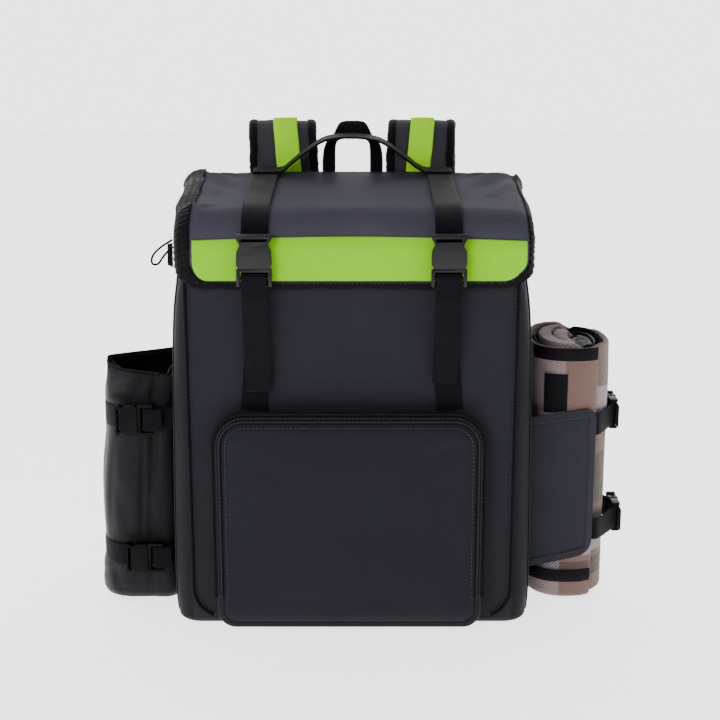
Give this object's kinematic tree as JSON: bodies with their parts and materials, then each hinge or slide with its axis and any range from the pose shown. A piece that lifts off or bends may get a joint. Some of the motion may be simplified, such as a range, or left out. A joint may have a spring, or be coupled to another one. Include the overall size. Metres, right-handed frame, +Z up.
{
  "type": "backpack cooler",
  "caption": "Insulated backpack cooler with a buckled lid flap, front pocket, side bottle pouch, padded shoulder straps and a rolled picnic blanket strapped to its side.",
  "frame": {"origin": "on the ground, under the middle of the insulated body", "axes": "+Z up, the front with the pocket faces -Y, +X to the viewer's right, towards the rolled blanket"},
  "size_m": [0.5071, 0.302, 0.4546],
  "materials": {
    "body_cloth": "charcoal woven polyester with a faint crosswise rib",
    "binding": "black binding tape",
    "zip_tape": "black coil zip",
    "lime_cloth": "smooth lime green cloth",
    "webbing": "charcoal black ribbed webbing",
    "buckle_plastic": "black moulded acetal with a soft sheen",
    "padding_cloth": "black padded cloth",
    "pouch_cloth": "black satin polyester",
    "fleece": "brushed fleece in a tan, grey and brown check",
    "zip_metal": "black lacquered slider"
  },
  "bodies": {
    "root": {"body_shell": "body_cloth", "front_piping_left": "binding", "front_piping_right": "binding", "main_zip_left": "zip_tape", "main_zip_right": "zip_tape", "lid_flap": "body_cloth", "lid_binding": "binding", "lime_band": "lime_cloth", "lid_strap_left": "webbing", "lid_strap_right": "webbing", "front_buckle_left_socket": "buckle_plastic", "front_buckle_left_plug": "buckle_plastic", "front_buckle_right_socket": "buckle_plastic", "front_buckle_right_plug": "buckle_plastic", "front_strap_left": "webbing", "front_strap_right": "webbing", "front_pocket": "body_cloth", "pocket_piping": "binding", "pocket_zip": "zip_tape", "carry_handle": "webbing", "grab_loop": "webbing", "back_panel": "padding_cloth", "shoulder_strap_left": "padding_cloth", "shoulder_strap_right": "padding_cloth", "shoulder_lime_left": "lime_cloth", "shoulder_lime_right": "lime_cloth", "ladder_lock_left": "buckle_plastic", "ladder_lock_right": "buckle_plastic", "shoulder_webbing_left": "webbing", "shoulder_webbing_right": "webbing", "side_pouch": "pouch_cloth", "pouch_buckle_upper_socket": "buckle_plastic", "pouch_buckle_upper_plug": "buckle_plastic", "pouch_buckle_lower_socket": "buckle_plastic", "pouch_buckle_lower_plug": "buckle_plastic", "pouch_strap_upper_front": "webbing", "pouch_strap_upper_round": "webbing", "pouch_strap_lower_front": "webbing", "pouch_strap_lower_round": "webbing", "blanket_roll": "fleece", "blanket_core": "padding_cloth", "blanket_binding_top": "binding", "blanket_binding_base": "binding", "blanket_patch": "binding", "blanket_holder": "pouch_cloth", "blanket_buckle_upper_socket": "buckle_plastic", "blanket_buckle_upper_plug": "buckle_plastic", "blanket_buckle_lower_socket": "buckle_plastic", "blanket_buckle_lower_plug": "buckle_plastic", "blanket_strap_upper_front": "webbing", "blanket_strap_upper_rear": "webbing", "blanket_strap_lower_front": "webbing", "blanket_strap_lower_rear": "webbing", "zip_slider": "zip_metal", "zip_pull_tab": "webbing", "zip_pull_cord": "webbing"}
  },
  "joints": []
}
